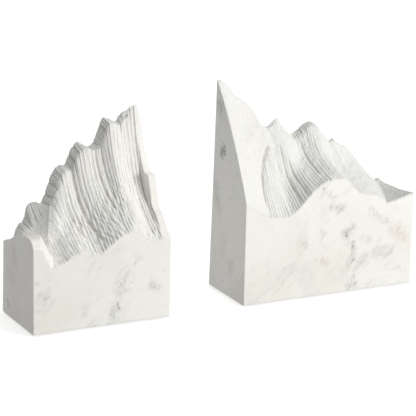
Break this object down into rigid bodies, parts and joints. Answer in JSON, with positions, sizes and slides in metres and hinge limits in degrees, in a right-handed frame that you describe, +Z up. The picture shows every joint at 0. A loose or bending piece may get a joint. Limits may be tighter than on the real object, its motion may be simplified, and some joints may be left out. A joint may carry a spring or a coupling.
{
  "type": "pair of bookends",
  "caption": "Two free-standing carved marble blocks with jagged mountain tops and flat book faces, on felt pads, that hold a row of books upright between them.",
  "frame": {"origin": "on the shelf, at the middle of the pair's footprint", "axes": "+X along the row of books from the left bookend to the right one, +Y from front to back, +Z up"},
  "size_m": [0.318, 0.0599, 0.165],
  "materials": {
    "marble": "honed white marble with faint grey veins, saw-grooved where it is carved",
    "felt": "pressed brown felt"
  },
  "bodies": {
    "left_bookend": {"left_marble_block": "marble", "left_pad_front_left": "felt", "left_pad_front_right": "felt", "left_pad_back_left": "felt", "left_pad_back_right": "felt"},
    "right_bookend": {"right_marble_block": "marble", "right_pad_front_left": "felt", "right_pad_front_right": "felt", "right_pad_back_left": "felt", "right_pad_back_right": "felt"}
  },
  "joints": [
    {"name": "row_spread", "type": "slide", "parent": "left_bookend", "child": "right_bookend", "axis": [1, 0, 0], "range_m": [-0.058, 0.24]}
  ]
}
